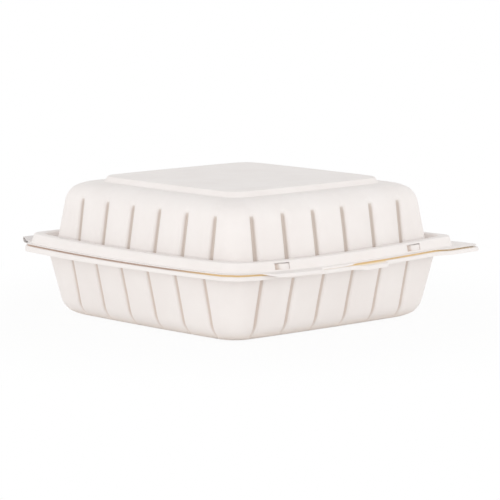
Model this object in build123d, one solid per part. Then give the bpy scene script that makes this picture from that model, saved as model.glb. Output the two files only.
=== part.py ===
"""Hinged takeaway clamshell: a square ribbed tray and a domed lid of thin moulded plastic, shown closed.

The origin is on the table under the middle of the tray. +Z is up, -Y is the opening side with the
thumb tabs and latches, and +Y is the hinge side. All sizes are in millimetres.
"""
from build123d import *
from math import hypot, sqrt
import os

# Sheet and the fits between the two halves
sheet = 0.6
rim_gap = 0.8
crest_gap = 0.5
nest_gap = 0.5

# How far solids that are joined run into each other, and cutters run past what they cut
joined_by = 0.02
overrun = 1.0

# Heights above the table
closed_height = 82.0
mating_height = 41.2
rib_top_height = 74.0

# Nested rim ridges, set out from the outer wall of the lid's channel. Half widths are to the outside
# face, corners are radii in plan, and a bow is how far a side stands out at its middle
channel_half = 83.4
channel_corner = 8.0
channel_draft = 0.3
channel_floor_width = 4.0
ridge_height = 6.0
ridge_width = 5.3
ridge_draft = 1.3
ridge_crest_half = channel_half + ridge_width
ridge_foot_half = ridge_crest_half + ridge_draft
ridge_corner = 9.0
ridge_bow = 2.0

# Flanges
lid_flange_width = 2.0
tray_flange_width = 3.0
lid_flange_half = ridge_foot_half + lid_flange_width
tray_flange_half = ridge_foot_half + tray_flange_width
flange_corner = 10.0
tray_lip_drop = 2.4

# Tray walls
tray_mouth_step = 0.9
tray_draft = 7.3
tray_mouth_half = channel_half + tray_mouth_step
tray_foot_half = tray_mouth_half - tray_draft
tray_foot_corner = 13.0
tray_foot_bow = 1.0
tray_mouth_corner = 14.0
tray_mouth_bow = 2.5
tray_mouth_height = 37.8
tray_foot_fillet = 9.0
base_bead_half = 58.0
base_bead_corner = 12.0
base_bead_width = 6.0
base_bead_rise = 1.2

# Lid dome
dome_draft = 4.0
dome_foot_half = channel_half - channel_floor_width
dome_foot_corner = 9.5
dome_foot_bow = 2.8
dome_top_half = dome_foot_half - dome_draft
dome_top_corner = 13.0
dome_top_bow = 0.4
shoulder_radius = 12.0
platform_rise = 3.4
platform_foot_half = 60.0
platform_top_half = 58.5
platform_corner = 11.0
platform_bow = 0.8

# Wall grooves, which stand off the middle of their side towards the left or the front
groove_count = 6
groove_pitch = 22.9
groove_shift = 4.0
groove_depth = 1.5
groove_floor_width = 1.4
groove_mouth_width = 3.6

# Thumb tabs on the opening side
tab_reach = 6.0
tab_radius = 3.0
lid_tab_start = -66.0
lid_tab_end = -28.0
lid_tab_lip = 2.0
tray_tab_start = 3.0
tray_tab_end = 22.5

# Pull tab at the right front corner
corner_tab_side_reach = 10.0
corner_tab_front_reach = 4.5
corner_tab_length = 27.0
corner_tab_radius = 6.0

# Latches
latch_spacing = 104.0
window_width = 11.0
window_height = 3.6
window_sill = 1.0
nub_margin = 2.0
nub_relief = 0.15

# Living hinge
hinge_margin = 9.0
hinge_half_length = tray_flange_half - hinge_margin
land_reach = 1.0
film = 0.4
fold_reach = 4.0
fold_rise = 4.0
fold_lean = 0.6
fold_radius = 1.0
fold_lid_gap = 0.45

# Levels worked out from the sizes above
tray_flange_top = mating_height - rim_gap / 2
lid_flange_bottom = mating_height + rim_gap / 2
tray_crest_top = tray_flange_top + ridge_height
lid_crest_bottom = tray_crest_top + crest_gap
lid_crest_top = lid_crest_bottom + sheet
shoulder_height = closed_height - platform_rise
land_edge = tray_flange_half + ridge_bow + land_reach


def outline(half, corner, bow):
    """Square face with rounded corners whose sides bow outward, all arcs meeting smoothly."""
    centre = half - corner
    side_radius = (centre**2 + 2 * corner * bow + bow**2) / (2 * bow)
    run = side_radius - corner
    along, across = centre / run, sqrt(run**2 - centre**2) / run
    x, y = centre + corner * along, centre + corner * across
    diagonal = centre + corner / sqrt(2)
    edges = []
    for turn in range(4):
        side = ThreePointArc((-x, -y), (0, -half - bow), (x, -y))
        bend = ThreePointArc((x, -y), (diagonal, -diagonal), (y, -x))
        edges += [Rot(0, 0, 90 * turn) * side, Rot(0, 0, 90 * turn) * bend]
    return make_face(edges)


def wall_at(section, x):
    """How far out a wall stands at a distance along its side from the middle."""
    half, corner, bow = section
    return half + bow * (1 - (x / (half - corner))**2)


def stacked(*levels):
    """Straight sided solid through outlines, each given as its half width, corner and bow, and its height."""
    return loft([Pos(0, 0, z) * outline(*section) for section, z in levels], ruled=True)


def tapered(low, low_z, high, high_z):
    """Solid between two outlines."""
    return stacked((low, low_z), (high, high_z))


def between(low, low_z, high, high_z, z):
    """The outline that a straight wall through two outlines has at another height."""
    share = (z - low_z) / (high_z - low_z)
    return tuple(a + share * (b - a) for a, b in zip(low, high))


def shrunk(section, inset):
    """An outline's sizes after it moves inward."""
    return section[0] - inset, max(section[1] - inset, sheet), section[2]


def grooves(low, low_z, high, high_z, bottom, top, spread):
    """Cutters for the upright grooves of all four sides, widened and deepened inward by spread."""
    cutters = []
    for turn, shift in enumerate((-groove_shift, -groove_shift, groove_shift, groove_shift)):
        for index in range(groove_count):
            x = (index - (groove_count - 1) / 2) * groove_pitch + shift
            lean = (wall_at(low, x) - wall_at(high, x)) / (high_z - low_z)
            start = wall_at(low, x) + lean * (low_z - bottom)
            slope = (groove_mouth_width - groove_floor_width) / 2 / groove_depth
            floor = groove_floor_width / 2 + spread * (hypot(1, slope) - slope)
            mouth = floor + slope * (2 * groove_depth + spread)
            inner, outer = start - groove_depth - spread, start + groove_depth
            section = make_face(Polyline((x - floor, -inner), (x + floor, -inner),
                                         (x + mouth, -outer), (x - mouth, -outer), close=True))
            prism = extrude(Pos(0, 0, bottom) * section, amount=(top - bottom) * hypot(1, lean),
                            dir=Vector(0, lean, 1).normalized())
            cutters.append(Rot(0, 0, 90 * turn) * prism)
    return cutters


def front_tab(start, end, reach_half):
    """Plan of a thumb tab that stands out from the front flange."""
    depth = 2 * tab_radius + tab_reach
    front = reach_half + ridge_bow + tab_reach
    return Pos((start + end) / 2, depth / 2 - front) * RectangleRounded(end - start, depth, tab_radius)


def corner_tab(half):
    """Plan of the pull tab at the right front corner."""
    right, front = half + corner_tab_side_reach, half + corner_tab_front_reach
    width, length = corner_tab_side_reach + 2 * flange_corner, corner_tab_length
    return Pos(right - width / 2, length / 2 - front) * RectangleRounded(width, length, corner_tab_radius)


def hinge_land():
    """Plan of the straight strip of flange that carries the hinge."""
    depth = 2 * flange_corner
    return Pos(0, land_edge - depth / 2) * Rectangle(2 * hinge_half_length, depth)


def lid_flange_plan():
    """Plan of the lid's flange with its tabs."""
    plate = outline(lid_flange_half, flange_corner, ridge_bow)
    return plate + front_tab(lid_tab_start, lid_tab_end, lid_flange_half) + corner_tab(lid_flange_half) \
        + hinge_land()


def tray_flange_plan():
    """Plan of the tray's flange with its tabs."""
    plate = outline(tray_flange_half, flange_corner, ridge_bow)
    return plate + front_tab(tray_tab_start, tray_tab_end, tray_flange_half) \
        + corner_tab(tray_flange_half) + hinge_land()


def at_latches(width, depth, height, y, bottom):
    """A block at each of the two latch places."""
    blocks = []
    for side in (-1, 1):
        blocks.append(Pos(side * latch_spacing / 2, y, bottom + height / 2) * Box(width, depth, height))
    return blocks


def base_bead(bottom, spread):
    """Square ring that stiffens the base, from a level up to its top, thickened by spread."""
    ring_outside = (base_bead_half, base_bead_corner, tray_foot_bow)
    ring_inside = shrunk(ring_outside, base_bead_width)
    outside, inside = shrunk(ring_outside, -spread), shrunk(ring_inside, spread)
    top = base_bead_rise + spread
    return tapered(outside, bottom, outside, top) - tapered(inside, bottom, inside, top)


def build_tray():
    """Ribbed tray with its rim ridge, flange, turned down lip, tabs and latch nubs."""
    foot = (tray_foot_half, tray_foot_corner, tray_foot_bow)
    mouth = (tray_mouth_half, tray_mouth_corner, tray_mouth_bow)
    throat = (channel_half + sheet + nest_gap, channel_corner + sheet + nest_gap, ridge_bow)
    throat_top = (throat[0] + channel_draft, throat[1], throat[2])
    body = stacked((foot, 0), (mouth, tray_mouth_height), (shrunk(throat, -sheet), mating_height),
                   (shrunk(throat_top, -sheet), tray_crest_top))
    body = fillet(body.faces().sort_by(Axis.Z)[0].edges(), tray_foot_fillet)
    body -= grooves(foot, 0, mouth, tray_mouth_height, 0, tray_mouth_height, 0)
    body -= base_bead(-overrun, 0)

    inner_foot = between(shrunk(foot, sheet), 0, shrunk(mouth, sheet), tray_mouth_height, sheet)
    hollow = stacked((inner_foot, sheet), (shrunk(mouth, sheet), tray_mouth_height),
                     (throat, mating_height), (throat_top, tray_crest_top + overrun))
    hollow = fillet(hollow.faces().sort_by(Axis.Z)[0].edges(), tray_foot_fillet - sheet)
    hollow -= grooves(foot, 0, mouth, tray_mouth_height, 0, tray_mouth_height + sheet, sheet)
    hollow -= base_bead(0, sheet)

    skirt = (ridge_foot_half - sheet - nest_gap, ridge_corner - sheet - nest_gap, ridge_bow)
    crest = (ridge_crest_half - sheet - nest_gap, ridge_corner - sheet - nest_gap, ridge_bow)
    ridge = tapered(skirt, tray_flange_top - sheet, crest, tray_crest_top)
    ridge = fillet(ridge.faces().sort_by(Axis.Z)[-1].edges(), sheet)
    under = tapered(shrunk(skirt, sheet), tray_flange_top - 2 * sheet, shrunk(crest, sheet),
                    tray_crest_top - sheet)
    plan = tray_flange_plan()
    lip_bottom = tray_flange_top - sheet - tray_lip_drop
    flange = extrude(Pos(0, 0, lip_bottom) * plan, amount=sheet + tray_lip_drop)
    flange -= extrude(Pos(0, 0, lip_bottom) * offset(plan, -sheet), amount=tray_lip_drop)
    flange -= Pos(0, land_edge, lip_bottom + tray_lip_drop / 2) * Box(
        2 * (hinge_half_length + sheet), 2 * (land_edge - tray_flange_half), tray_lip_drop)

    nub_bottom = lid_flange_bottom + sheet + window_sill
    nub_height = window_height - nub_margin / 2
    nub_wall = between(skirt, tray_flange_top - sheet, crest, tray_crest_top, nub_bottom + nub_height)
    nub_face = wall_at(nub_wall, latch_spacing / 2 + window_width / 2) + nest_gap - nub_relief
    nubs = at_latches(window_width - 2 * nub_margin, sheet + nest_gap, nub_height,
                      (sheet + nest_gap) / 2 - nub_face, nub_bottom)
    return ridge + flange - under + nubs + body - hollow


def build_lid():
    """Domed lid with its raised platform, channel, rim ridge, flange, tabs and latch windows."""
    foot = (dome_foot_half, dome_foot_corner, dome_foot_bow)
    top = (dome_top_half, dome_top_corner, dome_top_bow)
    base = lid_flange_bottom
    dome = tapered(foot, base, top, shoulder_height)
    dome = fillet(dome.faces().sort_by(Axis.Z)[-1].edges(), shoulder_radius)
    dome -= grooves(foot, base, top, shoulder_height, base + sheet, rib_top_height, 0)
    platform_foot = (platform_foot_half, platform_corner, platform_bow)
    platform_top = (platform_top_half, platform_corner, platform_bow)
    dome += tapered(platform_foot, shoulder_height - joined_by, platform_top, closed_height)

    ceiling = shoulder_height - sheet
    inner_top = between(shrunk(foot, sheet), base, shrunk(top, sheet), shoulder_height, ceiling)
    hollow = tapered(shrunk(foot, sheet), base - joined_by, inner_top, ceiling)
    hollow = fillet(hollow.faces().sort_by(Axis.Z)[-1].edges(), shoulder_radius - sheet)
    hollow -= grooves(foot, base, top, shoulder_height, base, rib_top_height, sheet)
    hollow += tapered(shrunk(platform_foot, sheet), ceiling - joined_by, shrunk(platform_top, sheet),
                      closed_height - sheet)

    skirt = (ridge_foot_half, ridge_corner, ridge_bow)
    crest = (ridge_crest_half, ridge_corner, ridge_bow)
    ridge = tapered(skirt, base, crest, lid_crest_top)
    ridge = fillet(ridge.faces().sort_by(Axis.Z)[-1].edges(), 2 * sheet)
    throat = (channel_half, channel_corner, ridge_bow)
    throat_top = (channel_half + channel_draft, channel_corner, ridge_bow)
    ridge -= tapered(throat, base + sheet, throat_top, lid_crest_top + overrun)
    inside = tapered(shrunk(skirt, sheet), base - overrun, shrunk(crest, sheet), lid_crest_bottom)
    inside -= tapered(shrunk(throat, -sheet), base - overrun, shrunk(throat_top, -sheet),
                      lid_crest_bottom)
    flange = extrude(Pos(0, 0, base) * lid_flange_plan(), amount=sheet)
    tab = front_tab(lid_tab_start, lid_tab_end, lid_flange_half)
    tab_front = lid_flange_half + ridge_bow + tab_reach
    clear_of_tray = tray_flange_half + ridge_bow + nest_gap
    apron = tab - offset(tab, -sheet)
    apron &= Pos(0, -tab_front) * Rectangle(2 * ridge_foot_half, 2 * (tab_front - clear_of_tray))
    flange += extrude(Pos(0, 0, base - lid_tab_lip) * apron, amount=lid_tab_lip + sheet)
    window_depth = 2 * (sheet + ridge_bow + ridge_foot_half - ridge_crest_half)
    windows = at_latches(window_width, window_depth, window_height,
                         -(ridge_foot_half + ridge_bow), base + sheet + window_sill)
    return dome + ridge + flange - inside - hollow - windows


def build_hinge():
    """Thin moulded film that folds out and up between the two flanges, drawn as it lies when closed."""
    start = tray_flange_top - sheet / 2
    line = FilletPolyline((land_edge, start), (land_edge + fold_reach, start),
                          (land_edge + fold_reach - fold_lean, mating_height + fold_rise),
                          (land_edge + fold_lid_gap, lid_flange_bottom + sheet + fold_lid_gap),
                          radius=fold_radius)
    return extrude(Plane.YZ * trace(line, film), amount=hinge_half_length, both=True)


os.makedirs("parts", exist_ok=True)
export_step(build_tray(), "parts/tray.step")
export_step(build_lid(), "parts/lid.step")
export_step(build_hinge(), "parts/living_hinge.step")
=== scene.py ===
"""Hinged takeaway clamshell of thin off-white moulded plastic, dressed around its construction model.

The lid and the tray are each one swept sheet. A section is a list of levels, each with its own plan
outline, columns run round the outlines, a node tree presses the upright grooves into the walls, and the
sheet then gets its thickness. All sizes are in metres.
"""

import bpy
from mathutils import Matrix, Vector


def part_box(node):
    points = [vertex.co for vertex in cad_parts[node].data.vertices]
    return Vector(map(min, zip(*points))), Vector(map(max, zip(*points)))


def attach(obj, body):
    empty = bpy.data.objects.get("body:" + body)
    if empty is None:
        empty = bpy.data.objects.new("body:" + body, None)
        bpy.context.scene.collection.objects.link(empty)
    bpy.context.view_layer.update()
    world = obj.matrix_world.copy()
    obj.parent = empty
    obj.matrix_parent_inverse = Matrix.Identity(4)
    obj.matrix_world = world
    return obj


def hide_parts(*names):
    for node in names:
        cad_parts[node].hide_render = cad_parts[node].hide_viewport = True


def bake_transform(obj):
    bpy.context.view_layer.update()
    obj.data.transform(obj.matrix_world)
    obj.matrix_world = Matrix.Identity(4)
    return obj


bl_info = {
    "name": "Plastic Clamshell Container",
    "version": (1, 0, 0),
    "blender": (4, 5, 0),
    "location": "View3D > Sidebar > Clamshell",
    "description": "Builds the lid, tray, hinge film and stage of a ribbed takeaway clamshell",
    "category": "Object",
}

import math

import bpy
import numpy as np
from bpy.props import FloatProperty, FloatVectorProperty, IntProperty, PointerProperty
from mathutils import Vector

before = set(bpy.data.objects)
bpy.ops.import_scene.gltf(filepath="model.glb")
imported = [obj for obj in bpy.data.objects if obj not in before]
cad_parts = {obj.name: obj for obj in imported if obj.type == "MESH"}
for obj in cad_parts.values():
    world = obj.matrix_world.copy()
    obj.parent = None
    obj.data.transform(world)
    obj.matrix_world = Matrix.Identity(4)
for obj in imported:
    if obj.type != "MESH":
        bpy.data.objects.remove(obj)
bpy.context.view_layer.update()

MM = 0.001
lid_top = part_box("lid")[1].z
tray_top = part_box("tray")[1].z


def length(name, description, millimetres):
    """A length property, written in millimetres and kept in metres."""
    return FloatProperty(name=name, description=description, default=millimetres * MM, unit="LENGTH",
                         precision=5)


def share(name, description, default):
    """A property between 0 and 1."""
    return FloatProperty(name=name, description=description, default=default, min=0.0, max=1.0)


def colour(name, description, default):
    """A colour property."""
    return FloatVectorProperty(name=name, description=description, default=default, subtype="COLOR",
                               size=3, min=0.0, max=1.0)


def group(name, kind):
    """A group of settings, described by its class's docstring."""
    return PointerProperty(name=name, description=kind.__doc__, type=kind)


class RimSizes(bpy.types.PropertyGroup):
    """Sizes of the sheet and of the rim that the lid and the tray share."""
    sheet: length("Sheet", "Thickness of the moulded sheet", 0.6)
    rim_gap: length("Rim gap", "Height of the gap between the two flanges", 0.8)
    crest_gap: length("Crest gap", "Gap between the nested ridges' crests", 0.5)
    nest_gap: length("Nest gap", "Gap between the nested ridges' walls", 0.5)
    ridge_height: length("Ridge height", "Height of the tray's ridge above its flange", 6.0)
    ridge_crest_half: length("Ridge crest half width", "Half width to the outside of its crest", 88.7)
    ridge_foot_half: length("Ridge foot half width", "Half width to the outside of its foot", 90.0)
    ridge_corner: length("Ridge corner", "Plan radius of the ridge's corners", 9.0)
    channel_half: length("Channel half width", "Half width to the outside of the lid's channel", 83.4)
    channel_corner: length("Channel corner", "Plan radius of the channel's corners", 8.0)
    channel_draft: length("Channel draft", "How far the channel's outer wall leans out", 0.3)
    bow: length("Bow", "How far the rim's sides bow outward in the middle", 2.0)
    lid_flange_half: length("Lid flange half width", "Half width of the lid's flange", 92.0)
    tray_flange_half: length("Tray flange half width", "Half width of the tray's flange", 93.0)
    flange_corner: length("Flange corner", "Plan radius of the flanges' corners", 10.0)
    bend: length("Bend", "Radius of the rim's smaller bends", 0.9)
    front_sag: length("Front sag", "How far the rim sags along the front", 1.8)
    side_sag: length("Side sag", "How far the rim sags along the left and right sides", 1.0)
    sag_skew: share("Sag skew", "How much more the front sags at its left latch than at its right one", 0.6)
    edge_margin: length("Edge margin", "How far the tray's edge stays inside its plan", 0.1)
    # The gap's warm tint is painted light and shade in the rim's gap
    gap_light_reach: length("Warm reach", "How far the gap's warm tint reaches out from the ridge's foot", 3.4)
    latch_spacing: length("Latch spacing", "Distance between the two latches", 104.0)
    window_width: length("Window width", "Width of a latch window", 11.0)
    window_height: length("Window height", "Height of a latch window", 3.6)
    window_sill: length("Window sill", "Height of a window's foot above the flange", 1.0)


class TabSizes(bpy.types.PropertyGroup):
    """Sizes of the tabs that stand out from the flanges."""
    reach: length("Thumb tab reach", "How far the thumb tabs stand out to the front", 6.0)
    radius: length("Thumb tab radius", "Plan radius of the thumb tabs' corners", 3.0)
    root: length("Root radius", "Plan radius where a tab grows out of its flange", 6.0)
    lid_start: length("Lid tab start", "Left end of the lid's thumb tab", -66.0)
    lid_end: length("Lid tab end", "Right end of the lid's thumb tab", -28.0)
    tray_start: length("Tray tab start", "Left end of the tray's thumb tab", 3.0)
    tray_end: length("Tray tab end", "Right end of the tray's thumb tab", 22.5)
    pull_side: length("Pull tab side reach", "How far the corner pull tab stands out to the side", 10.0)
    pull_front: length("Pull tab front reach", "How far the corner pull tab stands out to the front", 4.5)
    pull_length: length("Pull tab length", "Length of the corner pull tab", 27.0)
    pull_radius: length("Pull tab radius", "Plan radius of the pull tab's corners", 6.0)
    land_half: length("Hinge land half length", "Half length of the straight flange at the hinge", 84.0)
    land_reach: length("Hinge land reach", "How far the hinge land stands out of the tray's flange", 1.0)
    lid_curl: length("Lid edge curl", "How far the lid's flange curls down at its edge", 0.25)
    lid_lip: length("Lid tab lip", "Depth of the turned down edge of the lid's thumb tab", 2.0)
    low_lip_end: length("Low lip end", "Right end of the low lip beside the lid's thumb tab", 3.0)
    low_lip: length("Low lip", "Depth of the low lip beside the lid's thumb tab", 1.33)
    tray_lip: length("Tray lip", "Depth of the tray's turned down edge at the front", 1.7)
    tray_lip_back: length("Tray lip at the back", "Depth of that edge near the hinge", 2.6)


class LidSizes(bpy.types.PropertyGroup):
    """Sizes of the lid's dome and platform."""
    platform_half: length("Platform half width", "Half width of the platform's top", 58.5)
    platform_foot: length("Platform foot half width", "Half width of the platform's foot", 60.0)
    platform_rise: length("Platform rise", "Height of the platform above the shoulder", 3.4)
    platform_corner: length("Platform corner", "Plan radius of the platform's corners", 11.0)
    platform_bow: length("Platform bow", "Outward bow of the platform's sides", 0.8)
    platform_sag: length("Platform sag", "How far the platform's top sinks in its middle", 0.25)
    platform_edge: length("Platform edge", "Radius along the platform's edge", 0.9)
    top_half: length("Dome top half width", "Half width at the shoulder", 75.4)
    top_corner: length("Dome top corner", "Plan radius at the shoulder", 13.0)
    top_bow: length("Dome top bow", "Outward bow at the shoulder", 0.4)
    shoulder: length("Shoulder radius", "Radius between the dome's wall and its top", 12.0)
    foot_half: length("Dome foot half width", "Half width at the dome's foot", 79.4)
    foot_corner: length("Dome foot corner", "Plan radius at the dome's foot", 9.5)
    foot_bow: length("Dome foot bow", "Outward bow at the dome's foot", 2.8)
    groove_depth: length("Groove depth", "Depth of a groove in the lid", 2.0)
    groove_floor: length("Groove floor width", "Width of a groove's floor in the lid", 2.0)
    groove_mouth: length("Groove mouth width", "Width of a groove at the lid's wall", 5.0)
    fade: FloatProperty(name="Fade", description="How fast a groove runs out where the wall curves away",
                        default=3.0, min=1.0)
    tail: share("Tail", "Share of the depth that runs on over the shoulder", 0.2)
    tail_length: length("Tail length", "How far the wall has receded where the tail ends", 10.0)


class TraySizes(bpy.types.PropertyGroup):
    """Sizes of the tray's walls and base."""
    foot_half: length("Foot half width", "Half width at the table", 77.0)
    foot_corner: length("Foot corner", "Plan radius at the table", 13.0)
    foot_bow: length("Foot bow", "Outward bow at the table", 1.0)
    foot_radius: length("Foot radius", "Radius between the wall and the base", 12.5)
    mouth_half: length("Mouth half width", "Half width at the top of the wall", 84.3)
    mouth_corner: length("Mouth corner", "Plan radius at the top of the wall", 14.0)
    mouth_bow: length("Mouth bow", "Outward bow at the top of the wall", 2.5)
    mouth_height: length("Mouth height", "Height of the top of the wall", 37.8)
    base_rise: length("Base rise", "How far the base lifts off the table in its middle", 0.25)
    bead_half: length("Bead half width", "Outer half width of the base's stiffening bead", 58.0)
    bead_corner: length("Bead corner", "Plan radius of the bead", 12.0)
    bead_width: length("Bead width", "Width of the bead", 6.0)
    bead_rise: length("Bead rise", "Height of the bead", 1.2)
    nub_start: length("Nub start", "Distance of a latch nub from its window's left end", 2.2)
    nub_end: length("Nub end", "Distance of a latch nub from its window's right end", 0.05)
    nub_reach: length("Nub reach", "How far a latch nub stands out of the ridge", 1.05)
    groove_depth: length("Groove depth", "Depth of a groove in the tray", 1.5)
    groove_floor: length("Groove floor width", "Width of a groove's floor in the tray", 1.0)
    groove_mouth: length("Groove mouth width", "Width of a groove at the tray's wall", 4.2)
    fade: FloatProperty(name="Fade", description="How fast a groove runs out where the wall curves away",
                        default=1.0, min=1.0)
    tail: share("Tail", "Share of the depth that runs on round the foot", 0.8)
    tail_length: length("Tail length", "How far the wall has receded where the tail ends", 10.0)


class GrooveSizes(bpy.types.PropertyGroup):
    """Number and places of the upright grooves in the walls."""
    count: IntProperty(name="Count", description="Grooves on each side", default=6, min=1, max=12)
    pitch: length("Pitch", "Distance between grooves", 22.9)
    shift: length("Shift", "How far a side's grooves stand off its middle, to the front or the left", 4.0)


class FilmSizes(bpy.types.PropertyGroup):
    """Sizes of the hinge film."""
    thickness: length("Film thickness", "Thickness of the hinge film", 0.4)
    nose: length("Nose reach", "How far the fold stands out behind the flanges", 4.0)
    rise: length("Nose rise", "Height of the fold above the gap between the flanges", 3.1)


class FinishSettings(bpy.types.PropertyGroup):
    """Colours and surface of the plastic, with the painted shade and light of its grooves, gap and foot."""
    plastic: colour("Plastic", "Colour of the moulded sheet", (0.90, 0.858, 0.835))
    cloud: colour("Cloud", "Colour of the faint cloudy patches", (0.86, 0.81, 0.785))
    # The groove colours are painted warm shade deep in the grooves; the tray's also paints the shade in its
    # latch slots
    lid_groove_shade: colour("Lid groove", "Colour deep in the lid's grooves", (0.55, 0.455, 0.39))
    tray_groove_shade: colour("Tray groove", "Colour deep in the tray's grooves", (0.62, 0.50, 0.43))
    # The gap colours are painted light and shade in the rim's gap: warm light at the front, shade behind;
    # gap glow makes that painted warm light glow
    gap: colour("Gap", "Warm colour of the sheet inside the rim's gap at the front", (0.93, 0.72, 0.40))
    gap_shade_back: colour("Gap at the back", "Colour of the sheet inside the gap behind", (0.66, 0.52, 0.44))
    gap_glow: share("Gap glow", "Light that comes through the thin sheet into the gap", 0.24)
    # The foot colour is painted warm shade near the table
    foot: colour("Foot", "Warm tint of the tray's foot", (0.92, 0.80, 0.70))
    film: colour("Film", "Colour of the thinned hinge film", (0.80, 0.77, 0.76))
    roughness: share("Roughness", "Roughness of the plastic", 0.52)


class StageSettings(bpy.types.PropertyGroup):
    """Camera, lights and floor."""
    distance: FloatProperty(name="Distance", description="Camera distance", default=1.7, unit="LENGTH")
    azimuth: FloatProperty(name="Azimuth", description="Turn of the view from straight ahead",
                           default=math.radians(42.47), subtype="ANGLE")
    elevation: FloatProperty(name="Elevation", description="Height of the view above the horizon",
                             default=math.radians(7.73), subtype="ANGLE")
    lens: FloatProperty(name="Lens", description="Focal length in millimetres", default=208.44)
    aim_height: length("Aim height", "Height that the camera looks at", 40.0)
    side_light: FloatProperty(name="Side light", description="Strength of the light from all sides",
                              default=1.62, min=0.0)
    top_light: FloatProperty(name="Top light", description="Strength of the light from above",
                             default=0.62, min=0.0)
    left_key: FloatProperty(name="Left key", description="Power of the left front light", default=5.5,
                            min=0.0, unit="POWER")
    right_key: FloatProperty(name="Right key", description="Power of the right front light", default=4.0,
                             min=0.0, unit="POWER")
    floor_glow: share("Floor glow", "Share of the floor that the camera sees as plain white", 0.93)


# Nodes written as expressions

class Value:
    """A node's output that arithmetic turns into Math nodes."""

    def __init__(self, graph, socket):
        self.graph, self.socket = graph, socket

    def math(self, operation, *others):
        return self.graph.node("ShaderNodeMath", {"operation": operation}, [self, *others])

    def __add__(self, other):
        return self.math("ADD", other)

    def __sub__(self, other):
        return self.math("SUBTRACT", other)

    def __rsub__(self, other):
        return self.graph.node("ShaderNodeMath", {"operation": "SUBTRACT"}, [other, self])

    def __mul__(self, other):
        return self.math("MULTIPLY", other)

    def __truediv__(self, other):
        return self.math("DIVIDE", other)

    __radd__, __rmul__ = __add__, __mul__


class Graph:
    """A node tree with one way to add any node."""

    def __init__(self, tree):
        self.tree = tree

    def node(self, kind, settings=None, inputs=(), output=0):
        """Add a node, set it up, fill or link its inputs and hand back one of its outputs."""
        made = self.tree.nodes.new(kind)
        for name, value in (settings or {}).items():
            setattr(made, name, value)
        pairs = inputs.items() if isinstance(inputs, dict) else enumerate(inputs)
        for place, value in pairs:
            if isinstance(value, Value):
                self.tree.links.new(value.socket, made.inputs[place])
            else:
                made.inputs[place].default_value = value
        return Value(self, made.outputs[output]) if made.outputs else made

    def blend_colours(self, factor, first, second):
        """Mix two colours."""
        return self.node("ShaderNodeMix", {"data_type": "RGBA"}, {0: factor, 6: first, 7: second}, 2)

    def ramp(self, value, low, high, at_low, at_high, kind="SMOOTHSTEP"):
        """Carry a value from one range over to another."""
        return self.node("ShaderNodeMapRange", {"interpolation_type": kind},
                         [value, low, high, at_low, at_high])

    def noise(self, place, scale, detail, roughness=0.5):
        """Noise at a place, about 0.5."""
        return self.node("ShaderNodeTexNoise", {}, {"Vector": place, "Scale": scale, "Detail": detail,
                                                    "Roughness": roughness}, "Fac")

    def bump(self, height, strength, distance, **inputs):
        """A normal that rises and falls with a height."""
        return self.node("ShaderNodeBump", {}, {"Strength": strength, "Distance": distance, "Height": height,
                                                **inputs})

    def stretched(self, place, scale):
        """A place with its axes scaled."""
        return self.node("ShaderNodeMapping", {}, {"Vector": place, "Scale": scale})

    def along(self, place, axis):
        """One coordinate of a place."""
        return self.node("ShaderNodeSeparateXYZ", {}, [place], axis)

    def place(self, kind="Object"):
        """Texture coordinates."""
        return self.node("ShaderNodeTexCoord", output=kind)

    def attribute(self, name):
        """A number stored on the mesh."""
        return self.node("ShaderNodeAttribute", {"attribute_name": name}, output="Fac")


def new_material(name):
    """A material with no nodes, and the graph that fills it."""
    material = bpy.data.materials.new(name)
    material.use_nodes = True
    material.node_tree.nodes.clear()
    return material, Graph(material.node_tree)


# Plan outlines

# Half lengths of a side's grooved part and of the rim there, and the rim's way on to the diagonal
GROOVE_ZONE = 64.2 * MM
RIM_ZONE = 69.4 * MM
RIM_CORNER = 20.2 * MM
# Where columns stand: across half a groove, on a rib, round a corner, at a tab's end, across a latch nub
GROOVE_STEPS = (0.0, 0.22, 0.42, 0.64, 0.86, 1.08)
RIB_COLUMNS = 2
CORNER_SHARES = (0.13, 0.26, 0.39, 0.52) + tuple(0.62 + 0.038 * index for index in range(10))
TAB_STEPS = (-7.0, -5.2, -3.6, -2.2, -1.2, -0.4, 0.1, 0.5, 1.0, 1.7, 2.5, 3.4)
NUB_STEPS = (-1.0, -0.65, -0.3, 0.05, 0.92, 1.0)
CLOSEST_COLUMNS = 0.004
# A latch nub's heights, as shares of the skirt
NUB_HEIGHTS = (0.03, 0.08, 0.47, 0.53)
# How far the painted shade in the slot left of a nub reaches, as a share of the slot's width
SLOT_MARGIN = 1.2
# Where the tray's lip grows deeper towards the back, as shares of the flange's half width
LIP_DEEPENS = (-0.4, 0.75)
# Plan radius of the hinge land's corners, and how close two heights are taken as the same
LAND_CORNER = 0.3 * MM
SAME_HEIGHT = 0.01 * MM
# Most of a run that a bend may take, and the angle from which an edge looks sharp
LONGEST_BEND = 0.9
SHARP_ANGLE = math.radians(50)
# The search for a flange's edge: how far it looks, and how finely
PROBE_LENGTH = 34 * MM
PROBE_STEP = 0.04 * MM
# The flange's edge: shares of its quarter turn, the least drop past it, the tray's bend, the hinge's lip
EDGE_TURNS = (0.34, 0.67, 1.0)
LEAST_LIP = 0.02 * MM
TRAY_EDGE = 0.4 * MM
HINGE_LIP = 0.05 * MM
# Painted light and shade in the gap: shares of its reach with their strength, its strength at the edge and
# on the pull tab
WARM_STEPS = ((0.5, 1.0), (0.85, 0.6))
WARM_EDGE = 0.25
PULL_WARMTH = 0.55
# The height over which a wall takes up the rim's sag, and a distance that no groove reaches
SAG_HEIGHT = 12.0 * MM
FAR = 1.0


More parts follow.
